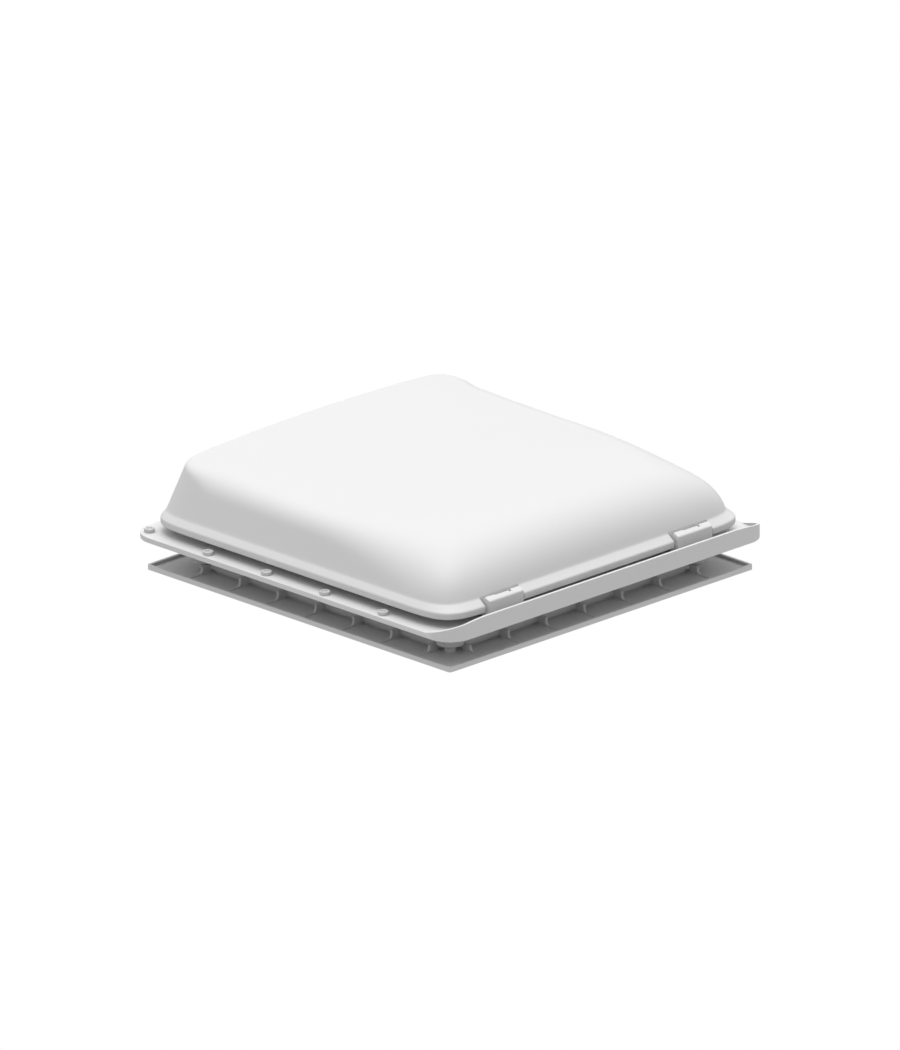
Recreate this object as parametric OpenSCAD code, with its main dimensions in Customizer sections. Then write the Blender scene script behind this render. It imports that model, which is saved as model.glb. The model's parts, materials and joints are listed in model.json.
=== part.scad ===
// Caravan roof vent: outer frame, hinged lid, lifting bow, turn locks, inner frame and fly screen.
// Millimetres. +Z is up, the hinge side is -Y, z = 0 is the room-side face of the inner frame.

/* [Roof] */
// side of the square hole cut in the roof
cutout_w = 400;          // [350:1:450]
// roof thickness clamped between the two frames
roof_gap = 31;           // [28:0.5:40]

/* [Outer frame] */
// width of the flange beyond the roof hole
flange_lap = 38;         // [32:0.5:50]
// plan radius of the flange corners
frame_r = 28;            // [20:1:34]
// flange thickness
flange_t = 5.5;          // [4.5:0.1:7]
// wall of the collar that passes through the roof
collar_t = 2.5;          // [2:0.1:3]
// height of the rain wall above the roof skin
upstand_h = 13.8;        // [12.5:0.1:13.8]
// height of the wind lip above the roof skin
lip_h = 20;              // [14:0.5:24]
// lip thickness
lip_t = 3;               // [2:0.1:3.4]
// radius of the corner screw posts
post_r = 6.2;            // [5.8:0.1:7]

/* [Lid] */
// plan inset from the flange's edge to the lid rim
lid_margin = 13.5;       // [11:0.1:15]
// shift of the lid away from the hinge side
lid_shift = 3;           // [1:0.1:4]
// plan inset from the rim to the foot of the dome
band_w = 10.5;           // [9:0.1:12]
// height of the rim's vertical wall
rim_h = 7.1;             // [6.4:0.1:9]
// rise of the sloping rim band
band_h = 8.2;            // [6:0.1:10]
// lid skin thickness
skin_t = 3;              // [2.2:0.1:3.4]
// height of the dome's crown above the roof skin
dome_h = 85.6;           // [78:0.2:100]
// draft of the dome's side walls in degrees
dome_draft = 9.1;        // [7:0.1:14]
// inner liner thickness
liner_t = 2.5;           // [1.5:0.1:2.8]

/* [Hinges and lifting bow] */
// diameter of the hinge pins
pin_d = 4.4;             // [4:0.1:4.4]
// largest opening of the lid in degrees
lid_open = 50;           // [30:1:50]
// diameter of the bow's bar
bow_d = 10;              // [8:0.1:10]
// diameter of the grips on the bow
grip_d = 15;             // [12:0.5:16]
// diameter of the bow's stub axles
axle_d = 8;              // [6:0.1:10]

/* [Inner frame and fly screen] */
// width of the inner frame beyond the roof hole
inner_lap = 25;          // [20:0.5:40]
// height of its perimeter wall
inner_h = 5.5;           // [5.5:0.1:8]
// floor thickness of the tray
floor_t = 2.5;           // [2:0.1:3.5]
// centring rib thickness
rib_t = 3;               // [2:0.1:5]
// width of the fly screen's rail
rail_w = 12;             // [10:0.5:18]
// thickness of the fly screen's net
net_t = 0.8;             // [0.5:0.1:1.5]

/* [Screws] */
// head diameter of the flange screws
head_d = 11.6;           // [8:0.1:12]
// head height of the flange screws
head_h = 4.2;            // [3:0.1:5]
// thread diameter of the flange screws
thread_d = 4.2;          // [3.5:0.1:4.8]

/* [Hidden] */
$fn = 96;
eps = 0.01;
run_gap = 0.06;
// heights
roof_z = inner_h + roof_gap;
flange_z = roof_z + flange_t;
upstand_z = roof_z + upstand_h;
collar_z = 6.3;
rim_z = roof_z + 15.2;
rim_top_z = rim_z + rim_h;
foot_z = rim_top_z + band_h;
seat_z = rim_z + 6.2;
liner_z = seat_z - liner_t;
crown_z = roof_z + dome_h;
// plan
hole_gap = 12;
rib_play = 0.5;
rib_out = cutout_w / 2 - rib_play;
frame_a = cutout_w / 2 + flange_lap;
collar_a = cutout_w / 2 - hole_gap;
collar_cut = 22.5;
sleeve_gap = 0.8;
sleeve_a = collar_a - collar_t - sleeve_gap;
sleeve_t = 2.5;
opening_a = sleeve_a - sleeve_t;
lid_a = frame_a - lid_margin;
rim_y = -lid_a + lid_shift;
foot_a = lid_a - band_w;
inner_a = cutout_w / 2 + inner_lap;
wall_t = 3;
post_in = 6.5;
post_gap = 0.2;
root_flare = 9;
flare_h = 4.1;
post_p = collar_a - post_in;
// flange screws
screw_in = 9;
screw_line = frame_a - screw_in;
screw_corner_in = 15;
screw_corner = frame_a - screw_corner_in;
screw_margin = 64.8;
screw_pitch = (frame_a - screw_margin) / 2;
screw_near = screw_pitch / 2;
screw_far = 1.5 * screw_pitch;
shank_d = thread_d + 0.6;
thread_below = 4;
recess_r = 3.2;
recess_h = 2;
// hinges
hinge_in = 98;
hinge_x = frame_a - hinge_in;
block_w = 50.6;
block_wall = 4.1;
block_out = 2.6;
block_front = rim_y - block_out;
block_end = 3;
knuckle_w = 22;
knuckle_wall = 1.5;
knuckle_gap = 0.5;
knuckle_r = pin_d / 2 + knuckle_wall;
hinge_rise = 24.7;
hinge_y = block_front + block_wall + knuckle_gap + knuckle_r;
hinge_z = roof_z + hinge_rise;
barrel_wall = 1.4;
barrel_r = pin_d / 2 + barrel_wall;
block_back = hinge_y + barrel_r;
block_z = hinge_z + 2.9;
block_edge = 0.8;
leaf_t = 3;
leaf_z = liner_z - leaf_t;
leaf_half = 22;
leaf_gap = 4;
leaf_in = -collar_a - leaf_gap;
leaf_screw = 15;
leaf_screw_in = 6;
leaf_screw_y = leaf_in - leaf_screw_in;
notch_gap = 3.4;
notch_back = hinge_y + barrel_r + 0.4;
// turn locks
lock_x = 95;
lock_in = 12.5;
lock_y = opening_a - lock_in;
lock_shaft_r = 4;
lock_plate_t = 6;
lock_half = 14;
lock_z = roof_z;
lock_edge = 10;
lock_front = lock_y - lock_edge;
tongue_t = 3;
tongue_w = 8;
tongue_r = 6;
tongue_len = 18;
knob_len = 22;
knob_r = 8.5;
knob_tip_r = 5;
knob_h = 5.5;
lock_play = 0.3;
striker_t = 3;
striker_in = 15;
striker_y = lock_front - striker_in;
striker_half = 10;
hook_deep = 13;
hook_lift = 2.5;
foot_half = 20;
foot_deep = 9;
foot_t = 2;
striker_screw = 14;
// small screws under the lid
small_r = 1.5;
small_head_r = 3;
small_head_h = 2;
small_gap = 0.05;
// bow: an isosceles triangle of hinge, axle and bar makes the bow turn twice as far as the lid
grip_gap = 6.2;
bar_y = striker_y - grip_gap - grip_d / 2;
bar_lift = 0.3;
bar_z = roof_z + bar_lift;
axle_drop = 6.6;
reach = norm([bar_y - hinge_y, bar_z - hinge_z]);
reach_e = [bar_y - hinge_y, bar_z - hinge_z] / reach;
axle_y = hinge_y + reach_e[0] * reach / 2 + reach_e[1] * axle_drop;
axle_z = hinge_z + reach_e[1] * reach / 2 - reach_e[0] * axle_drop;
bow_len = norm([reach / 2, axle_drop]);
bow_tilt = atan2(bar_z - axle_z, bar_y - axle_y);
rail_tilt = atan2(reach_e[1], reach_e[0]);
open_reach = 2 * bow_len * cos(atan(2 * axle_drop / reach) + lid_open);
arm_in = 17;
arm_x = opening_a - arm_in;
bend_r = 22;
eye_w = bow_d + 0.6;
eye_wall = 4.5;
eye_r = axle_d / 2 + eye_wall;
eye_play = 0.5;
cap_wall = 3;
cap_t = 5;
bracket_t = 4;
bracket_half = 22;
bracket_gap = 0.5;
grip_x = 24;
grip_len = 84;
// guide rail on the lid
cheek_x = 9;
cheek_t = 3;
guide_base_t = 1.5;
guide_z = liner_z - guide_base_t;
slot_play = 0.25;
slot_r = bow_d / 2 + slot_play;
guide_end = 14;
guide_screw_in = 8;
guide_y0 = hinge_y + reach_e[0] * open_reach - guide_end - guide_screw_in;
guide_y1 = bar_y + guide_end;
guide_screw_x = 18;
guide_edge = 6;
guide_wall = 3.5;
guide_screw_y = [guide_y0 + guide_screw_in, (guide_y0 + guide_y1) / 2, guide_y1 - guide_screw_in];
// fly screen
screen_in = 3.7;
screen_a = opening_a - screen_in;
screen_back_in = 6.2;
screen_back = -(opening_a - screen_back_in);
screen_z = 0.5;
screen_h = 7;
screen_axis_in = 4.5;
screen_axis_y = screen_back + screen_axis_in;
screen_axis_z = screen_z + screen_h / 2;
screen_pin_r = 2;
screen_pin_len = 24;
screen_cut = 13;
screen_neck = 11;
ledge_gap = 0.3;
ledge_t = 1.6;
ledge_in = 2.5;
ledge_z = screen_z + screen_h + ledge_gap;
hole_gap_in = 1;
hole_a = screen_a + hole_gap_in;
// clamp screws
pad_z = 7;
clamp_r = 2;
clamp_len = 25;
clamp_head_r = 4;
clamp_head_h = 3.2;
clamp_head_z = 1.8;
cover_r = 4.6;

// square of half size a with its corners cut back by c
module cut_square(a, c) {
    polygon([[a, -a + c], [a, a - c], [a - c, a], [-a + c, a],
             [-a, a - c], [-a, -a + c], [-a + c, -a], [a - c, -a]]);
}

// chamfer that keeps the wall even when the outline moves in by t
function inner_cut(c, t) = c - 0.586 * t;

module cut_ring(a, c, t) {
    difference() {
        cut_square(a, c);
        cut_square(a - t, inner_cut(c, t));
    }
}

module round_square(a, r) {
    union() {
        square([2 * a, 2 * (a - r)], center = true);
        square([2 * (a - r), 2 * a], center = true);
        for (sx = [-1, 1], sy = [-1, 1]) translate([sx * (a - r), sy * (a - r)]) circle(r = r);
    }
}

module rod_x(x0, x1, r) {
    translate([x0, 0, 0]) rotate([0, 90, 0]) cylinder(r = r, h = x1 - x0);
}

flange_spots = concat(
    [for (sx = [-1, 1], sy = [-1, 1]) [sx * screw_corner, sy * screw_corner]],
    [for (sx = [-1, 1], y = [-screw_far, -screw_near, screw_near, screw_far]) [sx * screw_line, y]],
    [for (x = [-screw_far, -screw_near, screw_near, screw_far]) [x, screw_line]],
    [for (x = [-screw_near, screw_near]) [x, -screw_line]]);

corner_spots = [for (sx = [-1, 1], sy = [-1, 1]) [sx * post_p, sy * post_p]];

/* Outer frame: flange, collar, rain wall, wind lip and four screw posts in one moulding */
module outer_frame() {
    color("white") difference() {
        union() {
            translate([0, 0, roof_z]) linear_extrude(flange_t) difference() {
                round_square(frame_a, frame_r);
                cut_square(collar_a - 1, inner_cut(collar_cut, 1));
            }
            translate([0, 0, collar_z]) linear_extrude(upstand_z - collar_z)
                cut_ring(collar_a, collar_cut, collar_t);
            wind_lip();
            corner_posts();
        }
        for (p = flange_spots)
            translate([p[0], p[1], roof_z - 1]) cylinder(d = shank_d + 0.1, h = flange_t + 2);
        for (p = corner_spots)
            translate([p[0], p[1], pad_z]) cylinder(r = clamp_r + 0.05, h = 22, $fn = 32);
    }
}

// lip along the hinge side, falling away in a curve around both corners
lip_start = -27;
lip_run = 67;
// its ends run out inside the flange
lip_low = flange_t - 0.4;
function lip_rise(t) = lip_low + (lip_h - lip_low) * (1 - pow(1 - t, 1.9));
module wind_lip() {
    steps = 10;
    long = 2 * frame_a;
    profile = concat([[lip_start, 0]],
        [for (i = [0 : steps]) [lip_start + lip_run * i / steps, lip_rise(i / steps)]],
        [[long, lip_h], [long, 0]]);
    intersection() {
        translate([0, 0, roof_z]) linear_extrude(lip_h) difference() {
            round_square(frame_a, frame_r);
            round_square(frame_a - lip_t, frame_r - lip_t);
        }
        for (s = [0, 1]) mirror([s, 0, 0]) intersection() {
            translate([-frame_a, -frame_a, roof_z]) rotate([0, 0, -45]) rotate([90, 0, 0])
                linear_extrude(2 * long, center = true) polygon(profile);
            translate([-frame_a - 1, -frame_a - 1, roof_z]) cube([frame_a + 1, frame_a, lip_h + 1]);
        }
    }
}

// the four posts, kept outside the collar's wall
module corner_posts() {
    difference() {
        intersection() {
            for (p = corner_spots) translate([p[0], p[1], 0]) screw_post();
            translate([0, 0, roof_z / 2]) cube([2 * rib_out, 2 * rib_out, roof_z + 4], center = true);
        }
        linear_extrude(roof_z + flange_t) cut_square(collar_a - 1, inner_cut(collar_cut, 1));
    }
}

module screw_post() {
    root_r = post_r + root_flare;
    foot = pad_z + post_gap;
    top = roof_z + 1 - foot;
    translate([0, 0, foot]) rotate_extrude()
        polygon([[0, 0], [post_r, 0], [root_r, flare_h], [root_r, top], [0, top]]);
}

/* Soft seal that caps the rain wall and meets the lid's liner */
module lid_seal() {
    top = liner_z - 0.3;
    color("dimgray") {
        translate([0, 0, upstand_z - 5]) linear_extrude(5)
            cut_ring(collar_a + 2, inner_cut(collar_cut, -2), 2);
        translate([0, 0, upstand_z]) linear_extrude(1.6)
            cut_ring(collar_a + 2, inner_cut(collar_cut, -2), 4.5);
        translate([0, 0, upstand_z + 1.6]) linear_extrude(top - upstand_z - 1.6)
            cut_ring(collar_a + 1, inner_cut(collar_cut, -1), 2.4);
    }
}

/* Screws that hold the flange to the roof skin */
module flange_screws() {
    color("whitesmoke") for (p = flange_spots) translate([p[0], p[1], flange_z]) difference() {
        union() {
            cylinder(d = head_d, h = head_h, $fn = 48);
            translate([0, 0, -flange_t]) cylinder(d = shank_d, h = flange_t + 1);
            translate([0, 0, -flange_t - thread_below]) cylinder(d = thread_d, h = thread_below + 1);
        }
        translate([0, 0, head_h - recess_h]) cylinder(r = recess_r, h = recess_h + 1, $fn = 6);
    }
}

/* Hinge blocks on the frame, each a fork around the lid's knuckle */
// side view: a sloping top, and a barrel at the back that the lid's notch turns around
block_slope = 0.41;
ear_back = 1.3;
function block_top(y) = block_z + block_slope * (y - block_front);
block_outline = concat(
    [[block_front, flange_z], [block_front, block_z - block_edge],
     [block_front + block_edge, block_top(block_front + block_edge)],
     [hinge_y - ear_back, block_top(hinge_y - ear_back)]],
    [for (a = [60 : -12 : 0]) [hinge_y + barrel_r * cos(a), hinge_z + barrel_r * sin(a)]],
    [[block_back, flange_z]]);
module hinge_block(x) {
    half = block_w / 2;
    gap = knuckle_w / 2 + 0.7;
    color("white") translate([x, 0, 0]) difference() {
        translate([-half, 0, 0]) rotate([90, 0, 90]) linear_extrude(block_w) polygon(block_outline);
        translate([-gap, block_front + block_wall, leaf_z - 2.2]) cube([2 * gap, 30, 40]);
        translate([0, hinge_y, hinge_z]) rod_x(-half + block_end, half - block_end, pin_d / 2);
    }
}

module hinge_pin(x) {
    half = block_w / 2;
    color("silver") translate([x, hinge_y, hinge_z]) rod_x(-half + block_end, half - block_end, pin_d / 2);
}

module hinge_block_left() { hinge_block(-hinge_x); }
module hinge_block_right() { hinge_block(hinge_x); }
module hinge_pin_left() { hinge_pin(-hinge_x); }
module hinge_pin_right() { hinge_pin(hinge_x); }

/* Knuckle and strap that join the lid's liner to each hinge pin */
module hinge_leaf(x) {
    color("white") translate([x, 0, 0]) difference() {
        union() {
            translate([0, hinge_y, hinge_z]) rod_x(-knuckle_w / 2, knuckle_w / 2, knuckle_r);
            translate([-knuckle_w / 2, hinge_y, leaf_z])
                cube([knuckle_w, knuckle_r, hinge_z - leaf_z]);
            translate([-knuckle_w / 2, hinge_y, leaf_z])
                cube([knuckle_w, leaf_in - hinge_y, leaf_t]);
            translate([-leaf_half, block_back + 1, leaf_z])
                cube([2 * leaf_half, leaf_in - block_back - 1, leaf_t]);
        }
        translate([0, hinge_y, hinge_z]) rod_x(-knuckle_w, knuckle_w, pin_d / 2 + run_gap);
        for (s = [-1, 1]) translate([s * leaf_screw, leaf_screw_y, leaf_z - 1])
            cylinder(r = small_r + small_gap, h = leaf_t + 2, $fn = 32);
    }
}

// screw with its head below the origin and its shank going up by len
module small_screw(len) {
    translate([0, 0, -small_head_h]) cylinder(r = small_head_r, h = small_head_h, $fn = 32);
    translate([0, 0, -1]) cylinder(r = small_r, h = len + 1, $fn = 32);
}

module hinge_leaf_left() { hinge_leaf(-hinge_x); }
module hinge_leaf_right() { hinge_leaf(hinge_x); }

module leaf_screws() {
    color("silver") for (p = leaf_spots) translate([p[0], p[1], leaf_z]) small_screw(leaf_t + liner_t);
}

/* Lid skin. Rings follow the dome's outline, and the wall rolls over into the crown. */
corner_reach = 100;
corner_p = 6.25;
front_ease = 0.65;
front_blend = 155;
arc_steps = 8;
side_steps = 4;
function soft(t) = let (c = min(1, max(0, t))) c * c * (3 - 2 * c);
side_fall = 8;
end_rise = 8;
back_fall = 3.1;
hinge_fall = 14;
function crown(x, y) = let (v = y / foot_a) crown_z - side_fall * pow(x / foot_a, 2)
    + end_rise * v * v - back_fall * v - hinge_fall * pow(soft(-v), 2);
// radius of the roll from wall to crown: tight at the back edge, wide at the hinge side
roll_back = 4.5;
roll_side = 53;
roll_hinge = 83.5;
function roll_r(y) = roll_back + (roll_side - roll_back) * soft((foot_a - y) / 61)
    + (roll_hinge - roll_side) * soft(-y / foot_a);
// skin height at the plan point x, y that lies depth inside the dome's foot
function skin_z(x, y, depth) = let (
        near = soft(0.5 + (-abs(x) - y) / front_blend), d = depth * (1 - front_ease * near),
        top = crown(x, y), slope = 1 / tan(dome_draft), lean = tan((90 - dome_draft) / 2),
        d0 = (top - foot_z) / slope,
        r = min(roll_r(y), 0.99 * d0 / sin(dome_draft) / lean), t = r * lean)
    d < d0 - t * sin(dome_draft) ? foot_z + max(d, 0) * slope
    : d < d0 + t ? top - r + sqrt(max(0, r * r - pow(d - d0 - t, 2))) : top;
// one quarter of a ring, as pairs of shares along x and y
function bend(i) = let (t = i / arc_steps - 1) 45 + 45 * sign(t) * pow(abs(t), 1.6);
function share(b) = [cos(b), sin(b)] / pow(pow(cos(b), corner_p) + pow(sin(b), corner_p), 1 / corner_p);
quarter = [for (i = [0 : 2 * arc_steps]) share(bend(i))];
function spot(d, sx, sy, q) = let (e = corner_reach - d, a = foot_a - corner_reach)
    [sx * (a + e * q[0]), sy * (a + e * q[1])];
function lerp(a, b, t) = a + (b - a) * t;
function fill(a, b) = [for (i = [1 : side_steps - 1]) lerp(a, b, i / side_steps)];
last = 2 * arc_steps;
function ring(d) = let (
        a = [for (i = [0 : last]) spot(d, 1, 1, quarter[i])],
        b = [for (i = [0 : last]) spot(d, -1, 1, quarter[last - i])],
        c = [for (i = [0 : last]) spot(d, -1, -1, quarter[i])],
        e = [for (i = [0 : last]) spot(d, 1, -1, quarter[last - i])])
    concat(a, fill(a[last], b[0]), b, fill(b[last], c[0]), c, fill(c[last], e[0]), e, fill(e[last], a[0]));
ring_n = 4 * (2 * arc_steps + 1) + 4 * (side_steps - 1);
function level(d, z) = [for (p = ring(d)) [p[0], p[1], z]];
function outer_level(d) = [for (p = ring(d)) [p[0], p[1], skin_z(p[0], p[1], d)]];
function inner_level(d) = [for (p = ring(d)) [p[0], p[1],
    max(seat_z + 0.5, min(skin_z(p[0], p[1], d - skin_t), skin_z(p[0], p[1], d) - skin_t))]];
outer_d = [for (i = [1 : 12]) 90 * pow(i / 12, 1.55)];
inner_d = [for (i = [0 : 9]) skin_t + 0.8 + 86 * pow(i / 9, 1.5)];
cap_share = [0.66, 0.33];
function centre(l) = [0, (max([for (p = l) p[1]]) + min([for (p = l) p[1]])) / 2];
function cap(l, s, drop) = let (c = centre(l)) [for (p = l) let (x = p[0] * s, y = lerp(c[1], p[1], s))
    [x, y, crown(x, y) - drop]];
lid_rings = let (
        o = [for (d = outer_d) outer_level(d)], n = [for (d = inner_d) inner_level(d)],
        ol = o[len(o) - 1], nl = n[len(n) - 1])
    concat([for (i = [len(cap_share) - 1 : -1 : 0]) cap(nl, cap_share[i], skin_t)],
           [for (i = [len(n) - 1 : -1 : 0]) n[i]],
           [level(skin_t + 0.8, seat_z), level(skin_t - band_w, seat_z), level(skin_t - band_w, rim_z),
            level(-band_w, rim_z), level(-band_w, rim_top_z), level(0, foot_z)],
           o, [for (s = cap_share) cap(ol, s, 0)]);
module lid_skin() {
    flat = [for (l = lid_rings) each l];
    rows = len(lid_rings);
    c0 = centre(lid_rings[0]);
    c1 = centre(lid_rings[rows - 1]);
    tips = [[0, c0[1], crown(0, c0[1]) - skin_t], [0, c1[1], crown(0, c1[1])]];
    n = ring_n;
    polyhedron(points = concat(flat, tips), faces = concat(
        [for (j = [0 : rows - 2], i = [0 : n - 1]) let (k = (i + 1) % n)
            each [[j * n + i, (j + 1) * n + i, (j + 1) * n + k], [j * n + i, (j + 1) * n + k, j * n + k]]],
        [for (i = [0 : n - 1]) [rows * n, i, (i + 1) % n]],
        [for (i = [0 : n - 1]) [rows * n + 1, (rows - 1) * n + (i + 1) % n, (rows - 1) * n + i]]),
        convexity = 6);
}

module lid_shell() {
    color("white") difference() {
        translate([0, lid_shift, 0]) lid_skin();
        for (x = [-hinge_x, hinge_x])
            translate([x - block_w / 2 - notch_gap, rim_y - 5, rim_z - 5])
                cube([block_w + 2 * notch_gap, notch_back - rim_y + 5, foot_z - rim_z + 5]);
    }
}

/* Flat inner skin of the lid */
liner_gap = 1.5;
leaf_spots = [for (x = [-hinge_x, hinge_x], s = [-1, 1]) [x + s * leaf_screw, leaf_screw_y]];
guide_spots = [for (x = [-guide_screw_x, guide_screw_x], y = guide_screw_y) [x, y]];
striker_spots = [for (s = [-1, 1], t = [-1, 1])
    [s * lock_x + t * striker_screw, striker_y + striker_t / 2]];
module lid_liner() {
    color("gainsboro") difference() {
        translate([0, lid_shift, liner_z]) linear_extrude(liner_t)
            polygon(ring(skin_t + liner_gap - band_w));
        for (x = [-hinge_x, hinge_x])
            translate([x - block_w / 2 - notch_gap, rim_y, liner_z - 1])
                cube([block_w + 2 * notch_gap, notch_back - rim_y, liner_t + 2]);
        for (p = concat(leaf_spots, guide_spots, striker_spots)) translate([p[0], p[1], liner_z - 1])
            cylinder(r = small_r + small_gap, h = liner_t + 2, $fn = 32);
    }
}

/* Guide rail under the liner, with a slot that the bow's bar slides in */
module lid_guide() {
    len_y = guide_y1 - guide_y0;
    deep = hinge_z + tan(rail_tilt) * (guide_y1 - hinge_y) - slot_r - guide_wall;
    shallow = hinge_z + tan(rail_tilt) * (guide_y0 - hinge_y) - slot_r - guide_wall;
    color("gray") difference() {
        union() {
            translate([-guide_screw_x - guide_edge, guide_y0, guide_z])
                cube([2 * (guide_screw_x + guide_edge), len_y, guide_base_t]);
            for (s = [-1, 1]) translate([s * (cheek_x + cheek_t / 2) - cheek_t / 2, 0, 0])
                rotate([90, 0, 90]) linear_extrude(cheek_t)
                    polygon([[guide_y0, guide_z + 0.5], [guide_y0, shallow],
                             [guide_y1, deep], [guide_y1, guide_z + 0.5]]);
        }
        translate([0, hinge_y, hinge_z]) rotate([rail_tilt, 0, 0]) {
            translate([-30, open_reach - 0.6, -slot_r]) cube([60, reach - open_reach + 1.2, 2 * slot_r]);
            for (r = [open_reach - 0.6, reach + 0.6]) translate([0, r, 0]) rod_x(-30, 30, slot_r);
        }
        for (p = guide_spots) translate([p[0], p[1], guide_z - 1])
            cylinder(r = small_r + small_gap, h = guide_base_t + 2, $fn = 32);
    }
}

module guide_screws() {
    color("silver") for (p = guide_spots) translate([p[0], p[1], guide_z])
        small_screw(guide_base_t + liner_t);
}

/* Hooks under the lid that the turn locks hold down */
module striker(x) {
    hook_z = lock_z + hook_lift;
    color("gray") difference() {
        translate([x, striker_y, 0]) {
            translate([-striker_half, 0, hook_z]) cube([2 * striker_half, hook_deep, striker_t]);
            translate([-striker_half, 0, hook_z]) cube([2 * striker_half, striker_t, liner_z - hook_z]);
            translate([-foot_half, -striker_t, liner_z - foot_t]) cube([2 * foot_half, foot_deep, foot_t]);
        }
        for (p = striker_spots) translate([p[0], p[1], liner_z - foot_t - 1])
            cylinder(r = small_r + small_gap, h = foot_t + 2, $fn = 32);
    }
}
module striker_left() { striker(-lock_x); }
module striker_right() { striker(lock_x); }

module striker_screws() {
    color("silver") for (p = striker_spots) translate([p[0], p[1], liner_z - foot_t])
        small_screw(foot_t + liner_t);
}

/* Brackets on the collar with the stub axles that the bow turns on */
module bow_bracket(s) {
    wall = collar_a - collar_t;
    color("gray") mirror([s < 0 ? 1 : 0, 0, 0]) {
        translate([wall - bracket_t, axle_y - bracket_half, roof_z + bracket_gap])
            cube([bracket_t, 2 * bracket_half, upstand_h - 2 * bracket_gap]);
        translate([0, axle_y, axle_z]) {
            rod_x(arm_x + eye_w / 2 + eye_play, wall - 1, axle_d / 2 + cap_wall);
            rod_x(arm_x - eye_w / 2 - cap_wall, wall - 1, axle_d / 2);
        }
    }
}
module bow_bracket_left() { bow_bracket(-1); }
module bow_bracket_right() { bow_bracket(1); }

/* Caps that keep the bow's eyes on their axles */
module axle_cap(s) {
    end = arm_x - eye_w / 2 - eye_play;
    color("gray") translate([0, axle_y, axle_z]) mirror([s < 0 ? 1 : 0, 0, 0]) difference() {
        rod_x(end - cap_t, end, axle_d / 2 + cap_wall);
        rod_x(end - cap_wall + eye_play, end + 1, axle_d / 2);
    }
}
module axle_cap_left() { axle_cap(-1); }
module axle_cap_right() { axle_cap(1); }

/* Lifting bow: a bent bar with an eye at each end */
module in_bow() { translate([0, axle_y, axle_z]) rotate([bow_tilt, 0, 0]) children(); }
module bow() {
    r = bow_d / 2;
    color("silver") in_bow() difference() {
        union() {
            translate([0, bow_len, 0]) rod_x(-arm_x + bend_r, arm_x - bend_r, r);
            for (s = [0, 1]) mirror([s, 0, 0]) {
                translate([arm_x, 0, 0]) rotate([-90, 0, 0]) cylinder(r = r, h = bow_len - bend_r);
                translate([arm_x - bend_r, bow_len - bend_r, 0]) rotate_extrude(angle = 90)
                    translate([bend_r, 0]) circle(r = r, $fn = 48);
                rod_x(arm_x - eye_w / 2, arm_x + eye_w / 2, eye_r);
            }
        }
        rod_x(-arm_x - 10, arm_x + 10, axle_d / 2 + run_gap);
    }
}

module bow_grip(s) {
    color("dimgray") in_bow() translate([0, bow_len, 0]) mirror([s < 0 ? 1 : 0, 0, 0]) difference() {
        rod_x(grip_x, grip_x + grip_len, grip_d / 2);
        rod_x(grip_x - 1, grip_x + grip_len + 1, bow_d / 2);
    }
}
module bow_grip_left() { bow_grip(-1); }
module bow_grip_right() { bow_grip(1); }

/* Turn locks: bracket, knob with shaft below and tongue above */
module lock_bracket(x) {
    color("gray") translate([x, 0, 0]) difference() {
        translate([-lock_half, lock_front, lock_z])
            cube([2 * lock_half, collar_a - collar_t - lock_front, lock_plate_t]);
        translate([0, lock_y, lock_z - 1]) cylinder(r = lock_shaft_r + run_gap, h = lock_plate_t + 2);
    }
}
module lock_bracket_left() { lock_bracket(-lock_x); }
module lock_bracket_right() { lock_bracket(lock_x); }

module lock_knob(x) {
    color("dimgray") translate([x, lock_y, lock_z]) {
        translate([0, 0, -lock_play]) cylinder(r = lock_shaft_r, h = lock_plate_t + 2 * lock_play);
        translate([0, 0, -lock_play - knob_h]) {
            cylinder(r = knob_r, h = knob_h);
            translate([-knob_tip_r, -knob_len, 0]) cube([2 * knob_tip_r, knob_len, knob_h]);
            translate([0, -knob_len, 0]) cylinder(r = knob_tip_r, h = knob_h, $fn = 48);
        }
    }
}
module lock_knob_left() { lock_knob(-lock_x); }
module lock_knob_right() { lock_knob(lock_x); }

module lock_tongue(x, s) {
    color("silver") translate([x, lock_y, lock_z + lock_plate_t + lock_play]) {
        cylinder(r = tongue_r, h = tongue_t);
        translate([s > 0 ? 0 : -tongue_len, -tongue_w / 2, 0]) cube([tongue_len, tongue_w, tongue_t]);
    }
}
module lock_tongue_left() { lock_tongue(-lock_x, 1); }
module lock_tongue_right() { lock_tongue(lock_x, -1); }

/* Inner frame: ribbed tray with a sleeve that slides inside the outer frame's collar */
sleeve_cut = inner_cut(collar_cut, collar_a - sleeve_a);
module inner_frame() {
    color("white") difference() {
        union() {
            linear_extrude(floor_t) difference() {
                round_square(inner_a, wall_t);
                square(2 * hole_a, center = true);
            }
            linear_extrude(inner_h) difference() {
                round_square(inner_a, wall_t);
                square(2 * (inner_a - wall_t), center = true);
            }
            linear_extrude(roof_z - 6.5) difference() {
                cut_square(sleeve_a, sleeve_cut);
                cut_square(opening_a, inner_cut(sleeve_cut, sleeve_t));
            }
            linear_extrude(ledge_z + ledge_t) difference() {
                cut_square(sleeve_a - 0.5, inner_cut(sleeve_cut, 0.5));
                square(2 * hole_a, center = true);
            }
            screen_ledge();
            for (turn = [0 : 90 : 270]) rotate([0, 0, turn]) for (i = [-3 : 3]) centring_rib(i);
            for (p = corner_spots) translate([p[0], p[1], 0]) cylinder(r = post_r, h = pad_z);
        }
        for (p = corner_spots) translate([p[0], p[1], -1]) {
            cylinder(r = cover_r + 0.1, h = 6);
            cylinder(r = clamp_r + 0.3, h = 20, $fn = 32);
        }
        translate([0, screen_axis_y, screen_axis_z]) rod_x(-hole_a - 4, hole_a + 4, screen_pin_r);
    }
}

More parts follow.
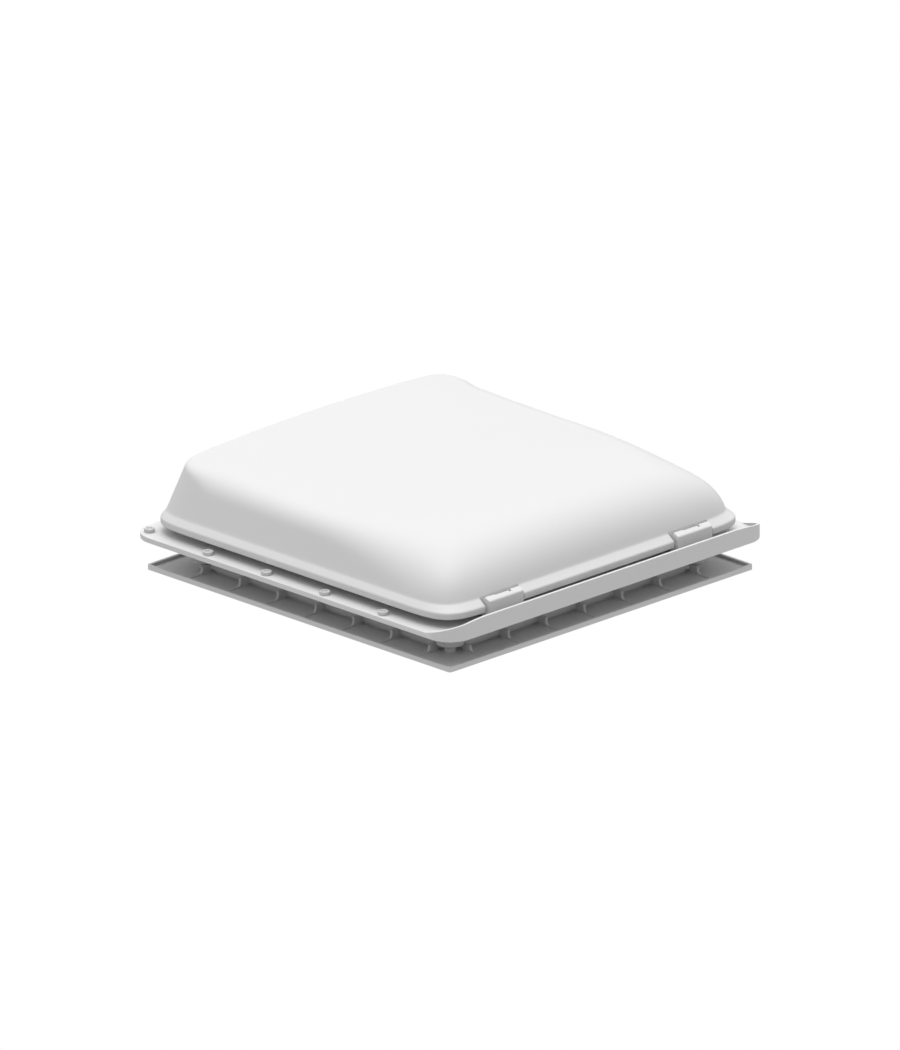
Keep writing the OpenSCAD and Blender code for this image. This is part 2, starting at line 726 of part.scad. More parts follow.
// ledge that the closed screen meets, on the three sides away from its pivots
module screen_ledge() {
    translate([0, 0, ledge_z]) linear_extrude(ledge_t) difference() {
        intersection() {
            translate([-hole_a - 0.5, screen_back + 14])
                square([2 * hole_a + 1, hole_a - screen_back - 13.5]);
            cut_square(sleeve_a - 0.5, inner_cut(sleeve_cut, 0.5));
        }
        translate([-screen_a + ledge_in, screen_back])
            square([2 * (screen_a - ledge_in), screen_a - screen_back - ledge_in]);
    }
}

// ribs that centre the frame in the roof hole; the last on each side is lower, below the post's flare
rib_margin = 19.4;
rib_pitch = (collar_a - rib_margin) / 3;
rib_top = 12.3;
rib_low = 10.2;
rib_gap = 0.3;
module centring_rib(i) {
    rise = abs(i) == 3 ? rib_low : rib_top;
    toe = inner_h - 2.2;
    fall = 4.5;
    foot = [for (a = [0 : 15 : 90]) [rib_out + fall * (1 - cos(a)), toe + fall * (1 - sin(a))]];
    translate([0, i * rib_pitch + rib_t / 2, 0]) rotate([90, 0, 0]) linear_extrude(rib_t)
        polygon(concat([[collar_a + rib_gap, floor_t - 1], [collar_a + rib_gap, rise], [rib_out, rise]],
                       foot, [[inner_a - 2, toe], [inner_a - 2, floor_t - 1]]));
}

/* Screws that draw the two frames together, and the covers over their heads */
module clamp_screws() {
    color("silver") for (p = corner_spots) translate([p[0], p[1], 0]) {
        translate([0, 0, clamp_head_z]) cylinder(r = clamp_head_r, h = clamp_head_h, $fn = 48);
        translate([0, 0, clamp_head_z + 2]) cylinder(r = clamp_r, h = clamp_len, $fn = 32);
    }
}

module screw_covers() {
    color("white") for (p = corner_spots) translate([p[0], p[1], 0]) cylinder(r = cover_r + 0.1, h = 1.6);
}

/* Fly screen: a rail frame with a net, hung on two pivots at the hinge side */
// outline moved in by t, with corners cut back to clear the collar's corners
function screen_outline(t) = let (
        a = screen_a - t, k = -screen_back - t, front = 2 * screen_a - screen_cut - 1.4142 * t,
        back = screen_a - screen_neck - screen_axis_y - screen_axis_in - 1.4142 * t,
        neck = t == 0 ? screen_a - screen_neck : back - k,
        half = [[neck, -k], [neck, neck - back], [a, a - back], [a, front - a], [front - a, a]])
    concat(half, [for (i = [len(half) - 1 : -1 : 0]) [-half[i][0], half[i][1]]]);

module screen_frame() {
    finger_half = 22;
    color("white") difference() {
        translate([0, 0, screen_z]) linear_extrude(screen_h) difference() {
            polygon(screen_outline(0));
            polygon(screen_outline(rail_w));
        }
        translate([0, screen_axis_y, screen_axis_z]) for (s = [0, 1]) mirror([s, 0, 0])
            rod_x(screen_a - screen_pin_len - 1, screen_a + 1, screen_pin_r + run_gap);
        translate([-finger_half, screen_a - rail_w - 1, screen_z - 1]) cube([2 * finger_half, 7, 4]);
    }
}

module screen_net() {
    color("slategray") translate([0, 0, screen_axis_z - net_t / 2])
        linear_extrude(net_t) polygon(screen_outline(rail_w));
}

module screen_pivot(s) {
    color("silver") translate([0, screen_axis_y, screen_axis_z]) mirror([s < 0 ? 1 : 0, 0, 0])
        rod_x(screen_a - screen_pin_len, hole_a + 4, screen_pin_r);
}
module screen_pivot_left() { screen_pivot(-1); }
module screen_pivot_right() { screen_pivot(1); }

outer_frame();
lid_seal();
flange_screws();
hinge_block_left();
hinge_block_right();
hinge_pin_left();
hinge_pin_right();
inner_frame();
clamp_screws();
screw_covers();
bow_bracket_left();
bow_bracket_right();
axle_cap_left();
axle_cap_right();
lock_bracket_left();
lock_bracket_right();
screen_pivot_left();
screen_pivot_right();
lid_shell();
lid_liner();
hinge_leaf_left();
hinge_leaf_right();
leaf_screws();
lid_guide();
guide_screws();
striker_left();
striker_right();
striker_screws();
bow();
bow_grip_left();
bow_grip_right();
lock_knob_left();
lock_tongue_left();
lock_knob_right();
lock_tongue_right();
screen_frame();
screen_net();
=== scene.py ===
"""Looks of a square caravan roof vent: white mouldings, a domed lid, and the works under it."""

import json
import math

import bmesh
import bpy
import numpy as np
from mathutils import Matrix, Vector


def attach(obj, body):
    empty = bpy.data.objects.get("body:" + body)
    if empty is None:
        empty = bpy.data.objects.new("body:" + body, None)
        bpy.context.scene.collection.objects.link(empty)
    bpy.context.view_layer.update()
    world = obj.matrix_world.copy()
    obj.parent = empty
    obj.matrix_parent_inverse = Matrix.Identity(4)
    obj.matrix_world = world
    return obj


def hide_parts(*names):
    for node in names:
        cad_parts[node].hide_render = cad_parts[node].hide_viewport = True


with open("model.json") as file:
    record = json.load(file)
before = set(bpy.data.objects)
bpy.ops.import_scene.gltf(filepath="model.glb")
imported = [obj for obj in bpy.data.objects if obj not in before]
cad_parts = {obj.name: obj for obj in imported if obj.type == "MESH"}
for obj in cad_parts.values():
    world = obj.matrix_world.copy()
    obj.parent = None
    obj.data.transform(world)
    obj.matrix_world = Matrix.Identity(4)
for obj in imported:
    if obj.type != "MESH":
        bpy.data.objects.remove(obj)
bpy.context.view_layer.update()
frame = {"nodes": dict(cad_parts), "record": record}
nodes = frame["nodes"]
SLOTS = {s["node"]: s["material_slot"] for s in frame["record"]["subparts"]}

# Sizes in millimetres. Those of the frame, screws, bow and screen repeat the part's own values.
# The lid's dome is fuller than the part's, inside the same overall box.
MM = 0.001

# Lid: rim, the band above it, and the skin.
LID_A = 224.5
LID_SHIFT = 3.0
RIM_Z = 51.7
RIM_TOP_Z = 58.8
RIM_LOW_ROUND = 1.0
RIM_HIGH_ROUND = 3.0
BAND_W = 6.5
BAND_BLEND = 2.0
SEAT_Z = 57.9
SKIN_T = 3.0
WALL_EXTRA = 0.8

# Lid: dome. Its foot lies on the band, and its walls lean in by the draft, more at the free edge.
FOOT_A = LID_A - BAND_W
FOOT_Z = 65.7
DOME_SHIFT = 2.88
DRAFT = math.radians(16.19)
DRAFT_TURN = math.radians(1.565)
CROWN_Z = 121.03
CROWN_SIDE_FALL = 8.8
CROWN_END_RISE = 6.385
CROWN_TILT = 0.773
CROWN_HINGE_FALL = 10.63

# Lid: the roll from wall to top grows from the free edge along the sides, and again to the hinge side.
# It takes a share of its reach down the wall, and at most a share of the wall.
ROLL_FREE = 3.352
ROLL_SIDE = 20.65
ROLL_SIDE_RUN = 66.74
ROLL_SIDE_POWER = 2.135
ROLL_HINGE = 34.0
ROLL_SHARE = 0.83
WALL_SHARE = 0.97

# Lid: notches in the rim around the hinge blocks.
HINGE_X = (-140.0, 140.0)
NOTCH_HALF = 28.7
NOTCH_BACK = -211.8
NOTCH_TOP = 67.0
NOTCH_SPARE = 5.0

# Lid mesh: depth over which its corners tighten, their roundness, and the steps around them and along the
# sides. The depths of its rings inside the foot are closest together where the surface turns. Further rings
# close the top to a small middle face, and fade into the crown on the way.
REACH = 100.0
CORNER_P = 6.25
CORNER_CROWD = 1.6
ARC_STEPS = 18
SIDE_STEPS = 16
INNER_DEPTHS = SKIN_T + WALL_EXTRA + 86 * (np.arange(14) / 13) ** 1.5
OUTER_DEPTHS = np.concatenate([
    np.linspace(-4.6, -1.6, 4), np.linspace(-1.2, 1.2, 9), np.linspace(1.8, 11, 10),
    np.linspace(12, 25, 27), 25 + 65 * (np.arange(1, 29) / 28) ** 1.3])
INNER_CLOSING = 6
OUTER_CLOSING = 18
MIDDLE_SHARE = 0.04
FADE_SHARE = 0.2

# Flange screws, bow bar with its grips, and screen net.
FLANGE_Z = 42.0
SCREW_LINE = 229.0
SCREW_CORNER = 223.0
SCREW_NEAR = 43.3
SCREW_FAR = 129.9
BAR_Y = 131.0
BAR_Z = 36.8
GRIP_START = 24.0
GRIP_LENGTH = 84.0
NET_Z = 4.0

# Light: the sky brightens towards its top, leans to the far side, and a little comes back from below.
SKY_HORIZON = 0.291
SKY_BLEND = 0.03
SKY_RISE = 0.713
SKY_LEAN = (0.375, 0.488)
SKY_TOP = 1.793
SKY_TOP_POWER = 12.0
SKY_BELOW = 0.405
FLOOR_HALF = 4000.0
FLOOR_Z = -0.3

# View: parallel, from the front corner, in metres.
VIEW_HEIGHT = 1050 / 0.953 * MM
VIEW_RISE = math.radians(20)
VIEW_MIDDLE_Z = 0.04934
VIEW_AWAY = 3.0
VIEW_REACH = 20.0

# Sizes of the pieces that geometry trees make, in metres.
SCREW = {"Head Width": 0.0116, "Head Height": 0.0042, "Recess Width": 0.0076, "Recess Depth": 0.002,
         "Edge": 0.0006, "Shank Width": 0.0041, "Shank Length": 0.0093}
NET = {"Pitch": 0.0022, "Wire": 0.00038, "Side": 0.1665, "Front": 0.1665, "Back": 0.164,
       "Front Corner": 0.32703, "Back Corner": 0.31753, "Wires Across": 152, "Wires Along": 151}
GRIP = {"Start": GRIP_START * MM, "Length": GRIP_LENGTH * MM, "Radius": 0.00748, "Bore": 0.0051,
        "Ring Pitch": 0.0056, "Ring Depth": 0.0009, "End Round": 0.002}
GRIP_POINTS = 181
GRIP_AROUND = 33
GROOVE_POWER = 3.0
SCREW_AROUND = 28
SCREW_EDGE_STEPS = 2
SCREW_OVERLAP = 0.0002
SHANK_AROUND = 14
SHANK_PLACE = -0.49

# Solids kept from the model: how close points are welded, in metres, which faces count as one flat, which
# edges are rounded and in how many steps, and where shading breaks. Then the width of each solid's rounded
# edges, in millimetres.
WELD = 0.00001
FLAT_ANGLE = math.radians(0.5)
ROUND_ANGLE = math.radians(40)
ROUND_STEPS = 2
SHARP_ANGLE = math.radians(20)
EDGES = {
    "outer_frame": 0.8, "inner_frame": 0.35, "hinge_block_left": 0.6, "hinge_block_right": 0.6,
    "lid_liner": 0.5, "lid_seal": 0.5, "hinge_leaf_left": 0.4, "hinge_leaf_right": 0.4, "lid_guide": 0.5,
    "striker_left": 0.5, "striker_right": 0.5, "lock_bracket_left": 0.6, "lock_bracket_right": 0.6,
    "lock_knob_left": 0.9, "lock_knob_right": 0.9, "lock_tongue_left": 0.4, "lock_tongue_right": 0.4,
    "bow_bracket_left": 0.6, "bow_bracket_right": 0.6, "axle_cap_left": 0.5, "axle_cap_right": 0.5,
    "screen_frame": 0.7, "screen_pivot_left": 0.4, "screen_pivot_right": 0.4, "screw_covers": 0.3,
}


def link(obj):
    bpy.context.scene.collection.objects.link(obj)
    return obj


def mesh_object(name, verts, faces, smooth=True):
    """A mesh from millimetre points, with its place in the mesh."""
    mesh = bpy.data.meshes.new(name)
    mesh.from_pydata([tuple(MM * c for c in v) for v in verts], [], [tuple(f) for f in faces])
    mesh.polygons.foreach_set("use_smooth", [smooth] * len(mesh.polygons))
    mesh.update()
    return link(bpy.data.objects.new(name, mesh))


def baked(obj):
    """Replaces an object's mesh by what its modifiers give, and takes them off."""
    graph = bpy.context.evaluated_depsgraph_get()
    mesh = bpy.data.meshes.new_from_object(obj.evaluated_get(graph), depsgraph=graph)
    mesh.name = obj.name
    obj.modifiers.clear()
    obj.data = mesh
    return obj


def add_node(tree, kind, **settings):
    """A node with its properties and input values set; an output socket as value is linked."""
    node = tree.nodes.new(kind)
    sockets = settings.pop("inputs", {})
    for key, value in settings.items():
        setattr(node, key, value)
    for key, value in sockets.items():
        if isinstance(value, bpy.types.NodeSocket):
            tree.links.new(value, node.inputs[key])
        else:
            node.inputs[key].default_value = value
    return node


def light_sky():
    """White light, strongest from the top of the sky; the camera sees white all round."""
    world = bpy.data.worlds.new("white_sky")
    bpy.context.scene.world = world
    world.use_nodes = True
    tree = world.node_tree
    tree.nodes.clear()
    place = add_node(tree, "ShaderNodeTexCoord")
    parts = add_node(tree, "ShaderNodeSeparateXYZ", inputs={0: place.outputs["Generated"]})
    upper = add_node(tree, "ShaderNodeMapRange", inputs={
        "Value": parts.outputs["Z"], "From Min": -SKY_BLEND, "From Max": SKY_BLEND,
        "To Min": SKY_BELOW, "To Max": SKY_HORIZON})
    height = add_node(tree, "ShaderNodeMath", operation="MAXIMUM", inputs={0: parts.outputs["Z"], 1: 0.0})
    side = add_node(tree, "ShaderNodeMath", operation="MULTIPLY_ADD", inputs={
        0: parts.outputs["X"], 1: SKY_LEAN[0], 2: 1.0})
    lean = add_node(tree, "ShaderNodeMath", operation="MULTIPLY_ADD", inputs={
        0: parts.outputs["Y"], 1: SKY_LEAN[1], 2: side.outputs[0]})
    leaned = add_node(tree, "ShaderNodeMath", operation="MULTIPLY", inputs={
        0: height.outputs[0], 1: lean.outputs[0]})
    rise = add_node(tree, "ShaderNodeMath", operation="MULTIPLY_ADD", inputs={
        0: leaned.outputs[0], 1: SKY_RISE, 2: upper.outputs[0]})
    steep = add_node(tree, "ShaderNodeMath", operation="POWER", inputs={
        0: height.outputs[0], 1: SKY_TOP_POWER})
    whole = add_node(tree, "ShaderNodeMath", operation="MULTIPLY_ADD", inputs={
        0: steep.outputs[0], 1: SKY_TOP, 2: rise.outputs[0]})
    ray = add_node(tree, "ShaderNodeLightPath")
    level = add_node(tree, "ShaderNodeMix", data_type="FLOAT", inputs={
        0: ray.outputs["Is Camera Ray"], 2: whole.outputs[0], 3: 1.0})
    sky = add_node(tree, "ShaderNodeBackground", inputs={
        "Color": (1, 1, 1, 1), "Strength": level.outputs[0]})
    out = add_node(tree, "ShaderNodeOutputWorld")
    tree.links.new(sky.outputs[0], out.inputs[0])


def lay_floor():
    """A plain white floor that throws no light back, and is clear from below."""
    corners = [(x * FLOOR_HALF, y * FLOOR_HALF, FLOOR_Z) for x, y in ((-1, -1), (1, -1), (1, 1), (-1, 1))]
    floor = mesh_object("floor", corners, [(0, 1, 2, 3)], smooth=False)
    mat = bpy.data.materials.new("floor_white")
    mat.use_nodes = True
    tree = mat.node_tree
    tree.nodes.clear()
    ray = add_node(tree, "ShaderNodeLightPath")
    side = add_node(tree, "ShaderNodeNewGeometry")
    front = add_node(tree, "ShaderNodeMath", operation="SUBTRACT", use_clamp=True, inputs={
        0: ray.outputs["Is Camera Ray"], 1: side.outputs["Backfacing"]})
    clear = add_node(tree, "ShaderNodeBsdfTransparent")
    white = add_node(tree, "ShaderNodeEmission", inputs={"Color": (1, 1, 1, 1)})
    mix = add_node(tree, "ShaderNodeMixShader", inputs={
        0: front.outputs[0], 1: clear.outputs[0], 2: white.outputs[0]})
    out = add_node(tree, "ShaderNodeOutputMaterial")
    tree.links.new(mix.outputs[0], out.inputs[0])
    floor.data.materials.append(mat)


def place_camera():
    """Parallel view from the front corner, 20 degrees above the horizon."""
    cam = bpy.data.cameras.new("camera")
    cam.type = "ORTHO"
    cam.sensor_fit = "VERTICAL"
    cam.ortho_scale = VIEW_HEIGHT
    cam.clip_end = VIEW_REACH
    obj = link(bpy.data.objects.new("camera", cam))
    level = math.cos(VIEW_RISE) * math.sqrt(0.5)
    along = Vector((level, level, -math.sin(VIEW_RISE)))
    obj.location = Vector((0, 0, VIEW_MIDDLE_Z)) - VIEW_AWAY * along
    obj.rotation_euler = along.to_track_quat("-Z", "Y").to_euler()
    bpy.context.scene.camera = obj


def shader_group(name, sockets, outputs):
    """An empty shader group with its named inputs and outputs."""
    tree = bpy.data.node_groups.new(name, "ShaderNodeTree")
    for label, kind, value in sockets:
        socket = tree.interface.new_socket(label, in_out="INPUT", socket_type=kind)
        socket.default_value = value
    for label, kind in outputs:
        tree.interface.new_socket(label, in_out="OUTPUT", socket_type=kind)
    return tree, tree.nodes.new("NodeGroupInput"), tree.nodes.new("NodeGroupOutput")


def moulded_group():
    """Moulded plastic: slow drift in tone, fine spark-eroded grain, and gloss that varies with both."""
    color, value = "NodeSocketColor", "NodeSocketFloat"
    tree, given, put = shader_group("moulded_plastic", [
        ("Tone", color, (0.8, 0.8, 0.8, 1)), ("Drift Tone", color, (0.75, 0.75, 0.75, 1)),
        ("Drift Scale", value, 9.0), ("Grain Scale", value, 1400.0),
        ("Gloss Low", value, 0.4), ("Gloss High", value, 0.55)],
        [("Color", color), ("Roughness", value), ("Height", value)])
    place = add_node(tree, "ShaderNodeTexCoord")
    drift = add_node(tree, "ShaderNodeTexNoise", inputs={
        "Vector": place.outputs["Object"], "Scale": given.outputs["Drift Scale"], "Detail": 3.0})
    grain = add_node(tree, "ShaderNodeTexNoise", inputs={
        "Vector": place.outputs["Object"], "Scale": given.outputs["Grain Scale"], "Detail": 2.0})
    tone = add_node(tree, "ShaderNodeMix", data_type="RGBA", inputs={
        0: drift.outputs[0], 6: given.outputs["Tone"], 7: given.outputs["Drift Tone"]})
    both = add_node(tree, "ShaderNodeMath", operation="ADD", inputs={
        0: drift.outputs[0], 1: grain.outputs[0]})
    gloss = add_node(tree, "ShaderNodeMapRange", inputs={
        "Value": both.outputs[0], "From Min": 0.6, "From Max": 1.4,
        "To Min": given.outputs["Gloss Low"], "To Max": given.outputs["Gloss High"]})
    tree.links.new(tone.outputs[2], put.inputs["Color"])
    tree.links.new(gloss.outputs[0], put.inputs["Roughness"])
    tree.links.new(grain.outputs[0], put.inputs["Height"])
    return tree


def drawn_group():
    """Drawn or turned metal: fine lines along X over a faint cloud."""
    color, value = "NodeSocketColor", "NodeSocketFloat"
    tree, given, put = shader_group("drawn_metal", [
        ("Tone", color, (0.6, 0.6, 0.6, 1)), ("Drift Tone", color, (0.5, 0.5, 0.5, 1)),
        ("Line Scale", value, 900.0), ("Gloss Low", value, 0.25), ("Gloss High", value, 0.4)],
        [("Color", color), ("Roughness", value), ("Height", value)])
    place = add_node(tree, "ShaderNodeTexCoord")
    stretch = add_node(tree, "ShaderNodeMapping", inputs={
        "Vector": place.outputs["Object"], "Scale": (0.04, 1.0, 1.0)})
    lines = add_node(tree, "ShaderNodeTexNoise", inputs={
        "Vector": stretch.outputs[0], "Scale": given.outputs["Line Scale"], "Detail": 3.0})
    tone = add_node(tree, "ShaderNodeMix", data_type="RGBA", inputs={
        0: lines.outputs[0], 6: given.outputs["Tone"], 7: given.outputs["Drift Tone"]})
    gloss = add_node(tree, "ShaderNodeMapRange", inputs={
        "Value": lines.outputs[0], "From Min": 0.3, "From Max": 0.7,
        "To Min": given.outputs["Gloss Low"], "To Max": given.outputs["Gloss High"]})
    tree.links.new(tone.outputs[2], put.inputs["Color"])
    tree.links.new(gloss.outputs[0], put.inputs["Roughness"])
    tree.links.new(lines.outputs[0], put.inputs["Height"])
    return tree


def grey(level):
    return (level, level, level, 1.0)


def finish(name, group, values, bump=0.1, depth=0.00005, metal=0.0, bounce=1.0):
    """A material from a shared group and its own values; bounce is the share of light it throws on."""
    mat = bpy.data.materials.new(name)
    mat.use_nodes = True
    tree = mat.node_tree
    shader = tree.nodes["Principled BSDF"]
    shader.inputs["Metallic"].default_value = metal
    skin = add_node(tree, "ShaderNodeGroup", node_tree=group, inputs=values)
    relief = add_node(tree, "ShaderNodeBump", inputs={
        "Strength": bump, "Distance": depth, "Height": skin.outputs["Height"]})
    ray = add_node(tree, "ShaderNodeLightPath")
    tone = add_node(tree, "ShaderNodeMix", data_type="RGBA", inputs={
        0: ray.outputs["Is Diffuse Ray"], 6: skin.outputs["Color"],
        7: grey(bounce * values["Tone"][0])})
    tree.links.new(tone.outputs[2], shader.inputs["Base Color"])
    tree.links.new(skin.outputs["Roughness"], shader.inputs["Roughness"])
    tree.links.new(relief.outputs[0], shader.inputs["Normal"])
    return mat


def make_finishes():
    plastic, metal = moulded_group(), drawn_group()

    def plastic_tone(top, low, gloss, grain=1400.0):
        return {"Tone": grey(top), "Drift Tone": grey(low), "Grain Scale": grain,
                "Gloss Low": gloss - 0.06, "Gloss High": gloss + 0.08}

    def metal_tone(top, low, gloss, lines=900.0):
        return {"Tone": grey(top), "Drift Tone": grey(low), "Line Scale": lines,
                "Gloss Low": gloss - 0.08, "Gloss High": gloss + 0.1}

    return {
        "lid_white": finish("lid_white", plastic, plastic_tone(0.913, 0.898, 0.45, 900.0), 0.05),
        "frame_white": finish("frame_white", plastic, plastic_tone(0.932, 0.912, 0.52), 0.12, bounce=0.45),
        "liner_white": finish("liner_white", plastic, plastic_tone(0.84, 0.82, 0.55), 0.12),
        "screen_white": finish("screen_white", plastic, plastic_tone(0.83, 0.80, 0.5), 0.12),
        "screw_white": finish("screw_white", plastic, plastic_tone(0.84, 0.81, 0.4, 600.0), 0.06),
        "seal_rubber": finish("seal_rubber", plastic, plastic_tone(0.05, 0.035, 0.7, 1800.0), 0.2),
        "grey_plastic": finish("grey_plastic", plastic, plastic_tone(0.20, 0.17, 0.5), 0.15),
        "dark_plastic": finish("dark_plastic", plastic, plastic_tone(0.035, 0.025, 0.48), 0.25),
        "net": finish("net", plastic, plastic_tone(0.045, 0.03, 0.6, 2500.0), 0.2),
        "steel": finish("steel", metal, metal_tone(0.62, 0.5, 0.32), 0.08, metal=1.0),
        "bow_metal": finish("bow_metal", metal, metal_tone(0.74, 0.66, 0.36, 500.0), 0.05, metal=1.0),
    }


def edge_tree():
    """Clears stored normals, then shades smooth except across edges sharper than the given angle."""
    tree = bpy.data.node_groups.new("smooth_faces", "GeometryNodeTree")
    tree.interface.new_socket("Geometry", in_out="INPUT", socket_type="NodeSocketGeometry")
    limit = tree.interface.new_socket("Sharp Angle", in_out="INPUT", socket_type="NodeSocketFloat")
    limit.default_value = SHARP_ANGLE
    tree.interface.new_socket("Geometry", in_out="OUTPUT", socket_type="NodeSocketGeometry")
    given, put = tree.nodes.new("NodeGroupInput"), tree.nodes.new("NodeGroupOutput")
    bare = add_node(tree, "GeometryNodeRemoveAttribute", inputs={
        "Geometry": given.outputs[0], "Name": "custom_normal"})
    rounded = add_node(tree, "GeometryNodeSetShadeSmooth", domain="FACE", inputs={
        0: bare.outputs[0], "Shade Smooth": True})
    angle = add_node(tree, "GeometryNodeInputMeshEdgeAngle")
    sharp = add_node(tree, "FunctionNodeCompare", data_type="FLOAT", operation="LESS_EQUAL", inputs={
        0: angle.outputs["Unsigned Angle"], 1: given.outputs["Sharp Angle"]})
    edges = add_node(tree, "GeometryNodeSetShadeSmooth", domain="EDGE", inputs={
        0: rounded.outputs[0], "Shade Smooth": sharp.outputs[0]})
    tree.links.new(edges.outputs[0], put.inputs[0])
    return tree


def dress_solid(name, material, smooth, bevel):
    """Gives a solid of the model its finish, welded faces and rounded edges."""
    obj = nodes[name]
    obj.data.materials.clear()
    obj.data.materials.append(material)
    weld = obj.modifiers.new("weld", "WELD")
    weld.merge_threshold = WELD
    if bevel:
        flat = obj.modifiers.new("flats", "DECIMATE")
        flat.decimate_type = "DISSOLVE"
        flat.angle_limit = FLAT_ANGLE
        soft = obj.modifiers.new("edges", "BEVEL")
        soft.width = bevel * MM
        soft.segments = ROUND_STEPS
        soft.limit_method = "ANGLE"
        soft.angle_limit = ROUND_ANGLE
        soft.use_clamp_overlap = True
    shade = obj.modifiers.new("shade", "NODES")
    shade.node_group = smooth


def ease(t):
    c = np.clip(t, 0.0, 1.0)
    return c * c * (3 - 2 * c)


def crown(x, y):
    """Height of the lid's top at a plan point."""
    v = y / FOOT_A
    return (CROWN_Z - CROWN_SIDE_FALL * (x / FOOT_A) ** 2 + CROWN_END_RISE * v * v - CROWN_TILT * v
            - CROWN_HINGE_FALL * ease(-v) ** 2)


def roll_reach(y):
    """How far the roll reaches over the top: little at the free edge, far at the hinge side."""
    back = np.clip((FOOT_A - y) / ROLL_SIDE_RUN, 0.0, 1.0)
    return ROLL_FREE + ROLL_SIDE * back ** ROLL_SIDE_POWER + ROLL_HINGE * ease(-y / FOOT_A)


def dome(x, y, d):
    """Height of the dome at a plan point that lies d inside its foot: drafted wall, curved roll, top."""
    top, over, draft = crown(x, y), roll_reach(y), DRAFT + DRAFT_TURN * y / FOOT_A
    rise = top - FOOT_Z
    meet = rise * np.tan(draft)
    along = np.minimum(ROLL_SHARE * over, WALL_SHARE * rise / np.cos(draft))
    low = along * np.sin(draft)
    past = low + np.clip(d - meet, -low, over)
    s = (np.sqrt(low ** 2 + (over - low) * past) - low) / (over - low)
    roll = top - (1 - s) ** 2 * along * np.cos(draft)
    wall = FOOT_Z + d / np.tan(draft)
    return np.where(d < meet - low, wall, np.where(d < meet + over, roll, top))


def soft_max(a, b, k):
    """The greater of two heights, with the crease between them eased over k."""
    return np.maximum(a, b) + np.maximum(k - np.abs(a - b), 0) ** 2 / (4 * k)


def ring_plan(depth):
    """Plan points of the lid's outline moved in by depth."""
    t = np.arange(2 * ARC_STEPS + 1) / ARC_STEPS - 1
    b = np.radians(45 + 45 * np.sign(t) * np.abs(t) ** CORNER_CROWD)
    q = np.stack([np.cos(b), np.sin(b)], 1)
    q = q / (q[:, :1] ** CORNER_P + q[:, 1:] ** CORNER_P) ** (1 / CORNER_P)
    a, e = FOOT_A - REACH, REACH - depth
    corner = a + e * q
    turns = [corner * (1, 1), corner[::-1] * (-1, 1), corner * (-1, -1), corner[::-1] * (1, -1)]
    out = []
    for i, part in enumerate(turns):
        nxt = turns[(i + 1) % 4][0]
        s = np.arange(1, SIDE_STEPS)[:, None] / SIDE_STEPS
        out += [part, part[-1] + (nxt - part[-1]) * s]
    return np.concatenate(out)


def flat_ring(depth, z):
    p = ring_plan(depth)
    return np.column_stack([p, np.full(len(p), z)])


def rim_profile():
    """Outer rim from its lower inner edge to the band, as depth and height, with round edges."""
    def arc(cx, cz, r, a0, a1, n):
        return [(cx + r * math.cos(math.radians(a)), cz + r * math.sin(math.radians(a)))
                for a in np.linspace(a0, a1, n)]
    low, high = RIM_LOW_ROUND, RIM_HIGH_ROUND
    band = math.atan2(FOOT_Z - RIM_TOP_Z, BAND_W)
    lift = high * math.tan((math.pi / 2 - band) / 2)
    pts = [(SKIN_T - BAND_W, SEAT_Z)]
    pts += arc(SKIN_T - BAND_W - low, RIM_Z + low, low, 0, -90, 4)
    pts += arc(-BAND_W + low, RIM_Z + low, low, -90, -180, 5)
    pts += arc(-BAND_W + high, RIM_TOP_Z - lift, high, 180, 90 + math.degrees(band), 7)
    return pts


def lid_rings():
    """All rings of the lid's skin, from the middle of its inside to the middle of its top."""
    inner = []
    for d in INNER_DEPTHS:
        p = ring_plan(d)
        x, y = p[:, 0], p[:, 1]
        z = np.minimum(dome(x, y, d - SKIN_T), dome(x, y, d) - SKIN_T)
        inner.append(np.column_stack([p, z]))
    rings = inward(inner[-1], SKIN_T, INNER_CLOSING)[::-1] + inner[::-1]
    rings.append(flat_ring(INNER_DEPTHS[0], SEAT_Z))
    rings = [back_set(ring, 1.0) for ring in rings]
    rings += [flat_ring(d, z) for d, z in rim_profile()]
    for d in OUTER_DEPTHS:
        p = ring_plan(d)
        band = FOOT_Z + min(d, BAND_BLEND) * (FOOT_Z - RIM_TOP_Z) / BAND_W
        z = soft_max(dome(p[:, 0], p[:, 1], d), band, BAND_BLEND)
        ring = np.column_stack([p, z])
        rings.append(back_set(ring, min(1.0, 1.0 + d / BAND_W)))
    return rings + [back_set(r, 1.0) for r in inward(ring, 0.0, OUTER_CLOSING)]


def back_set(ring, share):
    """A ring moved away from the hinge by a share of the dome's shift on its rim."""
    return ring + np.array([0.0, DOME_SHIFT * share, 0.0])


def inward(last, drop, count):
    """Rings that close a top from its last ring to the middle, easing into the crown's own height."""
    mid = np.array([0.0, 0.5 * (last[:, 1].max() + last[:, 1].min())])
    sunk = crown(last[:, 0], last[:, 1]) - drop - last[:, 2]
    out = []
    for s in np.linspace(1, MIDDLE_SHARE, count + 1)[1:]:
        p = mid + (last[:, :2] - mid) * s
        fade = np.clip((s - FADE_SHARE) / (1 - FADE_SHARE), 0, 1) ** 2
        out.append(np.column_stack([p, crown(p[:, 0], p[:, 1]) - drop - sunk * fade]))
    return out


